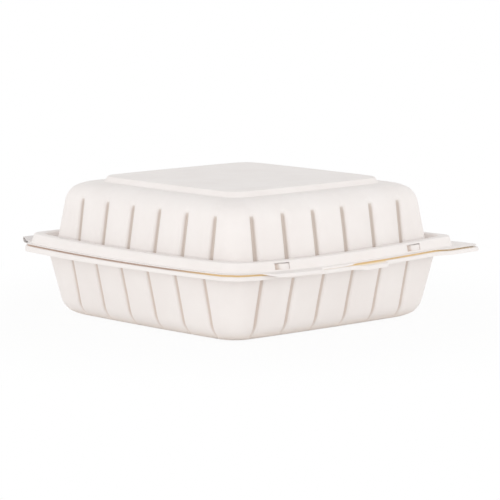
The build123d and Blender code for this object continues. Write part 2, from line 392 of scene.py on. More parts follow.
def outline(half, corner, bow, reach, columns):
    """Points of one side of an outline and their outward directions, as offsets along and out from the side.

    The outline is a square with rounded corners whose sides bow outward on arcs that meet the corners
    smoothly. A column up to 1 either way is a share of reach along the side. From 1 to 2 it is a share of
    the way on from there, round to the diagonal.
    """
    centre = half - corner
    side_radius = (centre**2 + 2 * corner * bow + bow**2) / (2 * bow)
    join_angle = math.asin(centre / (side_radius - corner))
    join = centre + corner * math.sin(join_angle)
    start_angle = join_angle if reach < join else math.asin((reach - centre) / corner)
    straight = max(0.0, join - reach)
    size = np.abs(columns)
    travel = np.clip(size - 1, 0, 1) * (straight + corner * (math.pi / 4 - start_angle))
    x = np.minimum(size, 1) * reach + np.minimum(travel, straight)
    on_side = (x <= join) & (travel <= straight)
    bend_angle = np.where(travel > straight, start_angle + (travel - straight) / corner,
                          np.arcsin(np.clip((x - centre) / corner, 0, 1)))
    angle = np.where(on_side, np.arcsin(np.clip(x / side_radius, 0, 1)), bend_angle)
    radius = np.where(on_side, side_radius, corner)
    along = np.where(on_side, 0.0, centre) + radius * np.sin(angle)
    out = np.where(on_side, half + bow - side_radius, centre) + radius * np.cos(angle)
    sign = np.sign(columns)
    return np.stack([along * sign, out], -1), np.stack([np.sin(angle) * sign, np.cos(angle)], -1)


def turned(offsets, turn):
    """Offsets along and out from a side, as x and y of the whole object. Turn 0 is the front."""
    along, out = offsets[..., 0], offsets[..., 1]
    cosine, sine = math.cos(turn * math.pi / 2), math.sin(turn * math.pi / 2)
    return np.stack([along * cosine + out * sine, along * sine - out * cosine], -1)


def side_columns(grooves, mouth, shift, places):
    """Columns of one side, close together at the grooves and corners and at the given places on the rim."""
    columns = {1.0, -1.0}
    spread = GROOVE_STEPS[-1] * mouth / 2
    for index in range(grooves.count):
        middle = (index - (grooves.count - 1) / 2) * grooves.pitch + shift
        for step in GROOVE_STEPS:
            offset = step * mouth / 2
            columns |= {(middle - offset) / GROOVE_ZONE, (middle + offset) / GROOVE_ZONE}
        for rib in range(RIB_COLUMNS if index else 0):
            across = (rib + 1) / (RIB_COLUMNS + 1) * (grooves.pitch - 2 * spread)
            columns.add((middle - grooves.pitch + spread + across) / GROOVE_ZONE)
    for part in CORNER_SHARES:
        columns |= {1 + part, -1 - part}
    for place in places:
        past = max(0.0, abs(place) - RIM_ZONE) / RIM_CORNER
        columns.add(math.copysign(min(abs(place) / RIM_ZONE, 1.0) + past, place))
    kept = []
    for column in sorted(columns | {2.0}):
        # A column at -2 would repeat the last one of the side before
        if column > -1.999 and (not kept or column - kept[-1] > CLOSEST_COLUMNS):
            kept.append(column)
    return np.array(kept)


def tab_places(place, inward):
    """Places on the rim that draw the end of a tab, whose body lies on the inward side."""
    return [place + inward * step * MM for step in TAB_STEPS]


class Level:
    """One level of a section: half width, corner, bow, height, groove zone, and its bend's radius.

    recede tells how far the wall has curved away from its line, tail which share of a groove's tail is
    left, and gap how much of the gap's painted light and shade the level takes.
    """

    def __init__(self, half, corner, bow, z, reach, radius=0.0, steps=4, pressed=False):
        self.half, self.corner, self.bow, self.z, self.reach = half, corner, bow, z, reach
        self.radius, self.steps, self.pressed = radius, steps, pressed
        self.recede, self.tail, self.gap = 0.0 if pressed else FAR, 0.0, 0.0

    def towards(self, other, part):
        """The level that lies part of the way to another one."""
        names = ("half", "corner", "bow", "z", "reach")
        mine, theirs = [[getattr(level, name) for name in names] for level in (self, other)]
        return Level(*[start + part * (end - start) for start, end in zip(mine, theirs)])


def rounded(keys, cut):
    """All levels of a section, with its key levels rounded. A groove runs out where the wall curves away."""
    levels = [keys[0]]
    for before, key, after in zip(keys, keys[1:], keys[2:]):
        if key.radius == 0:
            levels.append(key)
            continue
        here = np.array((key.half, key.z))
        back = np.array((before.half, before.z)) - here
        ahead = np.array((after.half, after.z)) - here
        back_length, ahead_length = np.linalg.norm(back), np.linalg.norm(ahead)
        back, ahead = back / back_length, ahead / ahead_length
        half_opening = math.acos(np.clip(back @ ahead, -1, 1)) / 2
        reach = min(key.radius / math.tan(half_opening), LONGEST_BEND * back_length,
                    LONGEST_BEND * ahead_length)
        radius = reach * math.tan(half_opening)
        middle = here + (back + ahead) / np.linalg.norm(back + ahead) * radius / math.sin(half_opening)
        start, end = here + back * reach - middle, here + ahead * reach - middle
        sweep = math.pi - 2 * half_opening
        for step in range(key.steps + 1):
            part = step / key.steps
            spot = middle + (math.sin((1 - part) * sweep) * start
                             + math.sin(part * sweep) * end) / math.sin(sweep)
            toward, distance = (before, back_length) if part < 0.5 else (after, ahead_length)
            level = key.towards(toward, abs(1 - 2 * part) * reach / distance)
            level.corner = max(level.corner - (level.half - spot[0]), key.radius / 4)
            level.half, level.z = spot
            if key.pressed:
                wall = before if before.pressed else after
                lean = (key.half - wall.half) / (key.z - wall.z)
                recede = max(0.0, key.half + lean * (level.z - key.z) - level.half)
                level.recede = cut.fade * recede
                level.tail = max(0.0, 1 - recede / cut.tail_length)
            level.gap = key.gap
            levels.append(level)
    return levels + [keys[-1]]


def rounded_box_distance(spots, low, high, radius):
    """Distance of plan points from a rectangle with rounded corners, negative inside."""
    past = np.abs(spots - (np.array(low) + high) / 2) - ((np.array(high) - low) / 2 - radius)
    return np.linalg.norm(np.maximum(past, 0), axis=-1) + np.minimum(past.max(-1), 0) - radius


def reach_to_edge(feet, edge, tabs, root):
    """Heading and distance from each foot point to the flange's edge, tabs included."""
    travel = edge - feet
    base = np.linalg.norm(travel, axis=-1)
    heading = travel / base[:, None]
    steps = np.arange(0, PROBE_LENGTH, PROBE_STEP)
    spots = feet[:, None] + heading[:, None] * steps[None, :, None]
    field = steps[None] - base[:, None]
    for low, high, radius in tabs:
        distance = rounded_box_distance(spots, low, high, radius)
        merge = np.maximum(root - np.abs(field - distance), 0)
        field = np.minimum(field, distance) - merge**2 / (4 * root)
    last = field.shape[1] - 1 - np.argmax(field[:, ::-1] < 0, axis=1)
    return heading, steps[last]


def smooth(low, high, value):
    """Smooth step from 0 at low to 1 at high."""
    part = np.clip((value - low) / (high - low), 0, 1)
    return part * part * (3 - 2 * part)


class Sheet:
    """Rings of points through the levels of a section, with what each point knows of grooves and gap."""

    def __init__(self, grooves, mouth, places):
        shifts = np.array((-1, -1, 1, 1)) * grooves.shift
        self.sides = [side_columns(grooves, mouth, shifts[turn], places.get(turn, ())) for turn in range(4)]
        self.columns = np.concatenate(self.sides)
        self.turns = np.concatenate([np.full(len(side), turn) for turn, side in enumerate(self.sides)])
        in_zone = np.abs(self.columns) <= 1
        self.run = np.where(in_zone, self.columns * GROOVE_ZONE - shifts[self.turns], FAR)
        self.rings, self.facts = [], []

    def plan(self, half, corner, bow, reach):
        """Plan points and outward directions all round one outline."""
        made = [outline(half, corner, bow, reach, side) for side in self.sides]
        points = [turned(offsets, turn) for turn, (offsets, _) in enumerate(made)]
        directions = [turned(headings, turn) for turn, (_, headings) in enumerate(made)]
        return np.concatenate(points), np.concatenate(directions)

    def add_ring(self, points, z, inward, recede, tail=0.0, gap=0.0, shade=0.0):
        """Add a ring of plan points, with what they know of the grooves, the gap and the latch slots."""
        self.rings.append(np.column_stack([points, np.broadcast_to(z, len(points))]))
        self.facts.append({"inward": inward, "recede": recede, "tail": tail, "gap": gap, "shade": shade})

    def add(self, level, shade=0.0):
        """Add the ring of one level."""
        points, directions = self.plan(level.half, level.corner, level.bow, level.reach)
        self.add_ring(points, level.z, -directions, level.recede, level.tail, level.gap, shade)

    def add_flange(self, half, rim, tabs, root, inset, lip, radius, z, gap_light_reach, warmth):
        """Add the flange's rings from the last ring out to its edge and down its lip."""
        feet, edge = self.rings[-1][:, :2], self.plan(half, rim.flange_corner, rim.bow, RIM_ZONE)[0]
        heading, distance = reach_to_edge(feet, edge, tabs, root)
        distance = distance - inset
        radius = np.minimum(radius, lip)
        quarter = math.pi / 2
        flat = distance - radius
        # The gap's painted light and shade reach out from the ridge's foot and weaken towards the edge
        warm = np.minimum(flat, gap_light_reach)
        stations = [(part * warm, 0.0, strength * warmth) for part, strength in WARM_STEPS]
        stations.append((flat, 0.0, np.where(flat > warm, 0.0, WARM_EDGE * warmth)))
        for turn in EDGE_TURNS:
            stations.append((distance - radius * (1 - math.sin(turn * quarter)),
                             radius * (1 - math.cos(turn * quarter)), 0.0))
        stations.append((distance, np.maximum(lip, radius + LEAST_LIP), 0.0))
        for out, drop, gap in stations:
            self.add_ring(feet + heading * out[:, None], z - drop, -heading, FAR, gap=gap)

    def sag(self, rim, fixed, free):
        """Let the rim sag between its corners, but not at the hinge.

        The wall takes the sag up between the heights fixed and free.
        """
        size = np.abs(self.columns)
        away = np.minimum(size, 1) * RIM_ZONE + np.maximum(size - 1, 0) * RIM_CORNER
        part = np.sign(self.columns) * away / (RIM_ZONE + RIM_CORNER)
        depth = np.array((rim.front_sag, rim.side_sag, 0, rim.side_sag))[self.turns]
        skew = np.array((rim.sag_skew, 0, 0, 0))[self.turns]
        drop = depth * (1 - part**2) * (1 - skew * part)
        weight = 0.0
        for ring in self.rings:
            weight = max(weight, smooth(fixed, free, ring[0, 2]))
            ring[:, 2] -= weight * drop

    def mesh(self, name, outward, hole=None):
        """The sheet as a mesh whose faces look outward or, turned over, inward.

        A hole is a ring and the columns after which the face beyond that ring is left out.
        """
        width, count = len(self.columns), len(self.rings)
        points = np.concatenate([np.array([[0, 0, self.rings[0][0, 2]]]), *self.rings])
        low = 1 + np.arange(count - 1)[:, None] * width + np.arange(width)[None]
        ahead = 1 + np.arange(count - 1)[:, None] * width + (np.arange(width)[None] + 1) % width
        quads = np.stack([low, low + width, ahead + width, ahead], -1)
        kept = np.ones(quads.shape[:2], bool)
        if hole:
            ring, wanted = hole
            kept[ring] = ~wanted
        first = np.arange(width)
        fan = np.stack([np.zeros(width, int), 1 + first, 1 + (first + 1) % width], -1)
        faces = [face if outward else face[::-1] for face in quads[kept].tolist() + fan.tolist()]
        mesh = bpy.data.meshes.new(name)
        mesh.from_pydata(points.tolist(), [], faces)
        inward = np.concatenate([np.zeros((1, 3))] + [np.column_stack([fact["inward"], np.zeros(width)])
                                                      for fact in self.facts])
        columns = {"run": np.concatenate([[FAR]] + [self.run] * count)}
        for label, at_middle in (("recede", FAR), ("tail", 0.0), ("gap", 0.0), ("shade", 0.0)):
            rings = [np.full(width, fact[label]) for fact in self.facts]
            columns[label] = np.concatenate([[at_middle]] + rings)
        for label, values in columns.items():
            mesh.attributes.new(label, "FLOAT", "POINT").data.foreach_set("value", values.astype(np.float32))
        stored = mesh.attributes.new("inward", "FLOAT_VECTOR", "POINT")
        stored.data.foreach_set("vector", inward.astype(np.float32).ravel())
        return mesh


# Node tree that presses the grooves

def groove_tree():
    """Node tree that presses evenly spaced grooves into the walls of a sheet."""
    tree = bpy.data.node_groups.new("press_grooves", "GeometryNodeTree")
    face = tree.interface
    face.new_socket("Sheet", in_out="INPUT", socket_type="NodeSocketGeometry")
    for name, kind in (("Count", "Int"), ("Pitch", "Float"), ("Depth", "Float"), ("Floor Width", "Float"),
                       ("Mouth Width", "Float"), ("Tail", "Float"), ("Material", "Material")):
        face.new_socket(name, in_out="INPUT", socket_type="NodeSocket" + kind)
    face.new_socket("Sheet", in_out="OUTPUT", socket_type="NodeSocketGeometry")
    graph = Graph(tree)
    entry = tree.nodes.new("NodeGroupInput")
    sheet, count, pitch, depth, floor, mouth, tail, material = [
        Value(graph, entry.outputs[name]) for name in
        ("Sheet", "Count", "Pitch", "Depth", "Floor Width", "Mouth Width", "Tail", "Material")]

    def stored(name, kind="FLOAT"):
        return graph.node("GeometryNodeInputNamedAttribute", {"data_type": kind}, [name])

    run = stored("run")
    place = run / pitch + (count - 1) * 0.5
    nearest = place.math("ROUND").math("MAXIMUM", 0.0).math("MINIMUM", count - 1)
    aside = ((place - nearest) * pitch).math("ABSOLUTE")
    section = graph.ramp(aside, floor * 0.5, mouth * 0.5, 1.0, 0.0)
    pressed = (section * depth - stored("recede")).math("MAXIMUM", section * depth * tail * stored("tail"))
    offset = graph.node("ShaderNodeVectorMath", {"operation": "SCALE"},
                        {0: stored("inward", "FLOAT_VECTOR"), 3: pressed})
    moved = graph.node("GeometryNodeSetPosition", inputs={"Geometry": sheet, "Offset": offset})
    # The grooves' depth and the latch slots' shade are kept as the mask for the painted shade
    marked = graph.node("GeometryNodeStoreNamedAttribute", {"data_type": "FLOAT", "domain": "POINT"},
                        {"Geometry": moved, "Name": "groove", "Value": pressed / depth + stored("shade")})
    real = graph.node("GeometryNodeRealizeInstances", inputs=[marked])
    dressed = graph.node("GeometryNodeSetMaterial", inputs={"Geometry": real, "Material": material})
    graph.node("NodeGroupOutput", inputs=[dressed])
    return tree


def finished_mesh(piece, thickness, offset, **settings):
    """Give a piece its thickness, and turn what its modifiers make into its plain mesh."""
    thicken = piece.modifiers.new("Thickness", "SOLIDIFY")
    thicken.thickness, thicken.offset = thickness, offset
    for name, value in settings.items():
        setattr(thicken, name, value)
    bpy.context.view_layer.update()
    evaluated = piece.evaluated_get(bpy.context.evaluated_depsgraph_get())
    mesh = bpy.data.meshes.new_from_object(evaluated)
    piece.modifiers.clear()
    piece.data = mesh
    mesh.shade_smooth()
    mesh.set_sharp_from_angle(angle=SHARP_ANGLE)
    return mesh


def press_and_thicken(mesh, name, grooves, cut, thickness, outside, inside):
    """Press the grooves, give the sheet its thickness and turn the result into a plain piece."""
    mesh.materials.append(outside)
    mesh.materials.append(inside)
    piece = bpy.data.objects.new(name, mesh)
    bpy.context.scene.collection.objects.link(piece)
    press = piece.modifiers.new("Press grooves", "NODES")
    press.node_group = groove_tree()
    values = {"Count": grooves.count, "Pitch": grooves.pitch, "Depth": cut.groove_depth,
              "Floor Width": cut.groove_floor, "Mouth Width": cut.groove_mouth,
              "Tail": cut.tail, "Material": outside}
    for item in press.node_group.interface.items_tree:
        if item.in_out == "INPUT" and item.name in values:
            press[item.identifier] = values[item.name]
    final = finished_mesh(piece, thickness, -1.0, use_quality_normals=True, material_offset=1)
    final.name = name
    while len(final.materials) < 2:
        final.materials.append(inside)
    return piece


# Finishes

PLASTIC_IOR = 1.49
# Where the gap's painted shade turns to painted warm light towards the front, and the heights over
# # which the painted warm shade at the tray's foot fades
GAP_FRONT = (-35 * MM, -80 * MM)
FOOT_SHADE_HEIGHTS = (0.5 * MM, 6 * MM)


def plastic_material(name, finish, groove_shade_colour, in_gap):
    """Off-white filled plastic: faint clouds, moulded stipple, fine upright streaks, and painted
    warm shade in the grooves and latch slots.

    The sheet that lies in the rim's gap takes painted warm light and a painted glow at the front and
    painted shade behind, and the other one has painted warm shade near the table.
    """
    material, graph = new_material(name)
    place = graph.place()
    clouds = graph.noise(place, 38.0, 4.0, 0.6)
    base = graph.blend_colours(graph.ramp(clouds, 0.35, 0.72, 0.0, 0.7, "LINEAR"),
                               (*finish.plastic, 1), (*finish.cloud, 1))
    # Painted warm shade deep in the grooves and in the latch slots, from the groove mask
    pressed = graph.ramp(graph.attribute("groove"), 0.35, 1.0, 0.0, 0.75)
    base = graph.blend_colours(pressed, base, (*groove_shade_colour, 1))
    glow = (0.0, 0.0, 0.0, 1.0)
    if in_gap:
        # Painted light in the rim's gap: warm light and a painted glow at the front, painted shade behind
        gap = graph.attribute("gap")
        front = graph.ramp(graph.along(place, "Y"), *GAP_FRONT, 0.0, 1.0)
        warm = graph.blend_colours(front, (*finish.gap_shade_back, 1), (*finish.gap, 1))
        base = graph.blend_colours(gap * 0.9, base, warm)
        glow = graph.blend_colours(gap * finish.gap_glow, glow, warm)
    else:
        # Painted warm shade near the table, fading upward
        low = graph.ramp(graph.along(place, "Z"), *FOOT_SHADE_HEIGHTS, 0.55, 0.0)
        base = graph.blend_colours(low, base, (*finish.foot, 1))
    stipple = graph.noise(place, 1900.0, 2.0)
    streaks = graph.noise(graph.stretched(place, (1.0, 1.0, 0.12)), 1100.0, 3.0)
    ripple = graph.noise(place, 60.0, 2.0)
    bump = graph.bump(stipple * 0.6 + streaks * 0.4, 0.35, 0.12 * MM)
    bump = graph.bump(ripple, 0.5, 0.6 * MM, Normal=bump)
    shader = graph.node("ShaderNodeBsdfPrincipled", {}, {
        "Base Color": base, "Roughness": finish.roughness - 0.06 + clouds * 0.12, "IOR": PLASTIC_IOR,
        "Specular IOR Level": 0.4, "Emission Color": glow, "Emission Strength": 1.0, "Normal": bump})
    graph.node("ShaderNodeOutputMaterial", {}, {"Surface": shader})
    return material


def film_material(finish):
    """The thinned film of the hinge: greyer than the sheet, whitened by its folds along the fold line."""
    material, graph = new_material("hinge_film_plastic")
    creases = graph.noise(graph.stretched(graph.place(), (0.15, 1.0, 1.0)), 900.0, 4.0)
    white = graph.ramp(creases, 0.45, 0.7, 0.0, 0.8, "LINEAR")
    base = graph.blend_colours(white, (*finish.film, 1), (*finish.plastic, 1))
    shader = graph.node("ShaderNodeBsdfPrincipled", {}, {
        "Base Color": base, "Roughness": creases * 0.2 + 0.35, "IOR": PLASTIC_IOR,
        "Normal": graph.bump(creases, 0.4, 0.1 * MM)})
    graph.node("ShaderNodeOutputMaterial", {}, {"Surface": shader})
    return material


# Sections

def flange_levels(rim):
    """Heights of the lid's flange top and crest top and of the tray's flange top and crest top."""
    tray_crest = tray_top
    tray_flange = tray_crest - rim.ridge_height
    lid_flange = tray_flange + rim.rim_gap + rim.sheet
    lid_crest = tray_crest + rim.crest_gap + rim.sheet
    return lid_flange, lid_crest, tray_flange, tray_crest


def inner_level(z, half, corner, bow, zone_share):
    """A level inside a flat middle, with its plan in millimetres."""
    return Level(half * MM, corner * MM, bow * MM, z, zone_share * half * MM)


def wall_levels(start, end, parts):
    """Levels of a straight wall between two others, which take the grooves at their full depth."""
    levels = [start.towards(end, part) for part in parts]
    for level in levels:
        level.pressed, level.recede = True, 0.0
    return levels


def lid_section(rim, lid):
    """Key levels of the lid's upper face, out to the foot of the ridge, and the top of the windows."""
    flange, crest, _, _ = flange_levels(rim)
    top, shoulder = lid_top, lid_top - lid.platform_rise
    zone, rim_zone = GROOVE_ZONE, RIM_ZONE
    platform_zone = zone * lid.platform_half / lid.top_half * 1.05
    corner, bow, sag = lid.platform_corner, lid.platform_bow, lid.platform_sag
    wall = Level(lid.foot_half, lid.foot_corner, lid.foot_bow, flange, zone, rim.bend, 3, True)
    brim = Level(lid.top_half, lid.top_corner, lid.top_bow, shoulder, zone, lid.shoulder, 10, True)
    crest_outer = Level(rim.ridge_crest_half, rim.ridge_corner, rim.bow, crest, rim_zone, 1.1 * rim.bend, 4)
    foot = Level(rim.ridge_foot_half, rim.ridge_corner, rim.bow, flange, rim_zone, 0.8 * rim.bend, 3)
    window_low = flange + rim.window_sill
    window_top = window_low + rim.window_height
    drop = crest - flange
    keys = [inner_level(top - sag, half=6, corner=2, bow=0.1, zone_share=0.4),
            inner_level(top - 0.8 * sag, half=32, corner=8, bow=0.4, zone_share=0.6),
            Level(52 * MM, 10 * MM, 0.7 * MM, top - 0.2 * sag, platform_zone * 0.88),
            Level(lid.platform_half, corner, bow, top, platform_zone, lid.platform_edge, 4),
            Level(lid.platform_foot, corner, bow, shoulder, platform_zone * 1.04, lid.platform_edge, 3),
            brim, *wall_levels(brim, wall, (0.55, 0.75)), wall,
            Level(rim.channel_half, rim.channel_corner, rim.bow, flange, rim_zone, rim.bend, 3),
            Level(rim.channel_half + rim.channel_draft, rim.channel_corner, rim.bow, crest, rim_zone,
                  1.1 * rim.bend, 4),
            crest_outer, crest_outer.towards(foot, (crest - window_top) / drop),
            crest_outer.towards(foot, (crest - window_low) / drop), foot,
            Level(rim.ridge_foot_half + 1.1 * rim.bend, rim.ridge_corner + rim.bend, rim.bow, flange,
                  rim_zone)]
    return keys, window_top


def tray_section(rim, tray):
    """Key levels of the tray's outer face, from the middle of the base out to the foot of the skirt."""
    _, _, flange, crest = flange_levels(rim)
    zone, rim_zone = GROOVE_ZONE, RIM_ZONE
    sheet, gap, bend = rim.sheet, rim.nest_gap, rim.bend
    bead, inner_bead = tray.bead_half, tray.bead_half - tray.bead_width
    bead_corner, edge = tray.bead_corner, 0.5 * MM
    inner_corner = bead_corner - tray.bead_width
    foot = Level(tray.foot_half, tray.foot_corner, tray.foot_bow, 0.0, zone, tray.foot_radius, 8, True)
    mouth = Level(tray.mouth_half, tray.mouth_corner, tray.mouth_bow, tray.mouth_height, zone)
    neck_half, neck_corner = rim.channel_half + 2 * sheet + gap, rim.channel_corner + 2 * sheet + gap
    skirt_corner = rim.ridge_corner - 2 * sheet - gap
    skirt_top = Level(rim.ridge_crest_half - 2 * sheet - gap, skirt_corner, rim.bow, crest - sheet, rim_zone,
                      0.6 * bend, 3)
    skirt_foot = Level(rim.ridge_foot_half - 2 * sheet - gap, skirt_corner, rim.bow, flange - sheet,
                       rim_zone, 1.1 * bend, 4)
    # The skirt's foot, inside the gap, takes the gap's full painted light and shade
    skirt_foot.gap = 1.0
    nub_levels = [skirt_top.towards(skirt_foot, part) for part in NUB_HEIGHTS]
    bead_zone = 0.85 * bead
    keys = [inner_level(tray.base_rise, half=6, corner=2, bow=0.1, zone_share=0.4),
            inner_level(0.8 * tray.base_rise, half=32, corner=6, bow=0.4, zone_share=0.6),
            Level(inner_bead, inner_corner, tray.foot_bow, 0.0, bead_zone * 0.92, edge, 2),
            Level(inner_bead + edge, inner_corner, tray.foot_bow, tray.bead_rise, bead_zone * 0.93, edge, 2),
            Level(bead - edge, bead_corner, tray.foot_bow, tray.bead_rise, bead_zone * 0.98, edge, 2),
            Level(bead, bead_corner, tray.foot_bow, 0.0, bead_zone, edge, 2),
            foot, *wall_levels(foot, mouth, (0.5, 0.98)), mouth,
            Level(neck_half, neck_corner, rim.bow, (flange + tray.mouth_height) / 2 + sheet, rim_zone,
                  0.6 * bend, 2),
            Level(neck_half + rim.channel_draft, neck_corner, rim.bow, crest - sheet, rim_zone,
                  0.6 * bend, 3),
            skirt_top, *nub_levels, skirt_foot,
            Level(skirt_foot.half + 1.3 * bend, skirt_corner + 1.3 * bend, rim.bow, flange - sheet,
                  rim_zone)]
    # The step out to the flange takes the gap's painted light and shade too
    keys[-1].gap = 1.0
    return keys, nub_levels


def pull_tab(half, rim, tabs):
    """Corners and radius of the pull tab at the right front corner."""
    right, front = half + tabs.pull_side, half + tabs.pull_front
    width = tabs.pull_side + 2 * rim.flange_corner
    return (right - width, -front), (right, tabs.pull_length - front), tabs.pull_radius


def thumb_tab(start, end, half, rim, tabs):
    """Corners and radius of a thumb tab."""
    front = half + rim.bow + tabs.reach
    return (start, -front), (end, 2 * tabs.radius + tabs.reach - front), tabs.radius


def hinge_land(rim, tabs):
    """Corners and radius of the straight flange that carries the hinge."""
    edge = rim.tray_flange_half + rim.bow + tabs.land_reach
    return (-tabs.land_half, edge - 2 * rim.flange_corner), (tabs.land_half, edge), LAND_CORNER


class CLAMSHELL_OT_lid(bpy.types.Operator):
    """Build the lid: platform, shoulder, ribbed dome, channel, ridge with latch windows, flange and tabs"""
    bl_idname = "clamshell.lid"
    bl_label = "Lid"

    def execute(self, context):
        settings = context.scene.clamshell
        rim, tabs, grooves, finish = settings.rim, settings.tabs, settings.grooves, settings.finish
        lid, half = settings.lid, rim.lid_flange_half
        window_edges = [side * (rim.latch_spacing / 2 + offset * rim.window_width)
                        for side in (-1, 1) for offset in (-0.5, 0.5)]
        pull = pull_tab(half, rim, tabs)
        places = {0: window_edges + tab_places(tabs.lid_start, 1) + tab_places(tabs.lid_end, -1)
                  + tab_places(tabs.low_lip_end, -1) + tab_places(pull[0][0], 1),
                  1: tab_places(pull[1][1], -1)}
        keys, window_top = lid_section(rim, lid)
        sheet = Sheet(grooves, lid.groove_mouth, places)
        window_ring = None
        for level in rounded(keys, lid):
            if abs(level.z - window_top) < SAME_HEIGHT and level.half > rim.ridge_crest_half:
                window_ring = len(sheet.rings)
            sheet.add(level)
        along = np.where(sheet.turns == 0, sheet.columns * RIM_ZONE, 0.0)
        ramp = tabs.root
        rise = smooth(tabs.lid_start - ramp, tabs.lid_start + ramp, along)
        lip = tabs.lid_curl + rise * (tabs.lid_lip - tabs.lid_curl)
        lip += smooth(tabs.lid_end - ramp, tabs.lid_end, along) * (tabs.low_lip - tabs.lid_lip)
        lip += smooth(tabs.low_lip_end - ramp, tabs.low_lip_end, along) * (tabs.lid_curl - tabs.low_lip)
        lip = np.where(sheet.turns == 0, lip, tabs.lid_curl)
        flat_tabs = [thumb_tab(tabs.lid_start, tabs.lid_end, half, rim, tabs), pull, hinge_land(rim, tabs)]
        flange = flange_levels(rim)[0]
        sheet.add_flange(half, rim, flat_tabs, tabs.root, 0.0, lip, rim.bend, flange, rim.gap_light_reach, 0.0)
        sheet.sag(rim, flange + SAG_HEIGHT, flange + rim.bend)
        middles = (sheet.columns + np.roll(sheet.columns, -1)) / 2 * RIM_ZONE
        aside = np.abs(np.abs(middles) - rim.latch_spacing / 2)
        wanted = (sheet.turns == 0) & (aside < rim.window_width / 2)
        mesh = sheet.mesh("lid_shell", True, (window_ring, wanted))
        plastic = plastic_material("lid_plastic", finish, finish.lid_groove_shade, False)
        piece = press_and_thicken(mesh, "lid_shell", grooves, lid, rim.sheet, plastic, plastic)
        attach(piece, "lid")
        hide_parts("lid")
        return {"FINISHED"}


class CLAMSHELL_OT_tray(bpy.types.Operator):
    """Build the tray: base with its bead, ribbed walls, ridge with latch nubs, flange, lip and tabs"""
    bl_idname = "clamshell.tray"
    bl_label = "Tray"

    def execute(self, context):
        settings = context.scene.clamshell
        rim, tabs, grooves, finish = settings.rim, settings.tabs, settings.grooves, settings.finish
        tray, half = settings.tray, rim.tray_flange_half
        nub_half = (rim.window_width - tray.nub_start - tray.nub_end) / 2
        nub_middles = [side * rim.latch_spacing / 2 + (tray.nub_start - tray.nub_end) / 2
                       for side in (-1, 1)]
        nub_edges = [middle + offset * nub_half for middle in nub_middles for offset in NUB_STEPS]
        pull = pull_tab(half, rim, tabs)
        places = {0: nub_edges + tab_places(tabs.tray_start, 1) + tab_places(tabs.tray_end, -1)
                  + tab_places(pull[0][0], 1),
                  1: tab_places(pull[1][1], -1)}
        keys, nub_levels = tray_section(rim, tray)
        sheet = Sheet(grooves, tray.groove_mouth, places)
        spots = [(sheet.columns * RIM_ZONE - middle) / nub_half for middle in nub_middles]
        nub = sum(smooth(NUB_STEPS[0], NUB_STEPS[3], spot) * (1 - smooth(NUB_STEPS[4], NUB_STEPS[5], spot))
                  for spot in spots) * (sheet.turns == 0)
        # Painted shade in the latch slot left of each nub, where the opening lies in shade
        slot_start = -1 - SLOT_MARGIN * tray.nub_start / nub_half
        in_slot = (sheet.turns == 0) & np.any([(spot > slot_start) & (spot < 0) for spot in spots], axis=0)
        slot_shade = np.where(in_slot, 1 - nub, 0.0)
        for level in rounded(keys, tray):
            sheet.add(level, slot_shade if level in nub_levels else 0.0)
            if level in nub_levels[1:3]:
                sheet.rings[-1][:, 1] -= nub * tray.nub_reach
        _, _, flange, _ = flange_levels(rim)
        flat_tabs = [thumb_tab(tabs.tray_start, tabs.tray_end, half, rim, tabs), pull, hinge_land(rim, tabs)]
        plan = sheet.rings[-1]
        back = smooth(LIP_DEEPENS[0] * half, LIP_DEEPENS[1] * half, plan[:, 1])
        lip = tabs.tray_lip + back * (tabs.tray_lip_back - tabs.tray_lip)
        at_hinge = (sheet.turns == 2) & (np.abs(plan[:, 0]) < tabs.land_half)
        lip = np.where(at_hinge, HINGE_LIP, lip)
        # On the pull tab the gap's painted light reaches further and is weaker
        at_pull_tab = (sheet.turns == 0) & (plan[:, 0] > pull[0][0])
        gap_light_reach = np.where(at_pull_tab, rim.gap_light_reach + 2 * tabs.pull_side, rim.gap_light_reach)
        warmth = np.where(at_pull_tab, PULL_WARMTH, 1.0)
        sheet.add_flange(half, rim, flat_tabs, tabs.root, rim.sheet + rim.edge_margin, lip, TRAY_EDGE,
                         flange - rim.sheet, gap_light_reach, warmth)
        sheet.sag(rim, tray.mouth_height - 2 * SAG_HEIGHT, tray.mouth_height)
        mesh = sheet.mesh("tray_shell", False)
        piece = press_and_thicken(mesh, "tray_shell", grooves, tray, rim.sheet,
                                  plastic_material("tray_plastic", finish, finish.tray_groove_shade, False),
                                  plastic_material("tray_plastic_inside", finish, finish.tray_groove_shade, True))
        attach(piece, "tray")
        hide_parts("tray")
        return {"FINISHED"}


# Places along the hinge film
FILM_STATIONS = 57


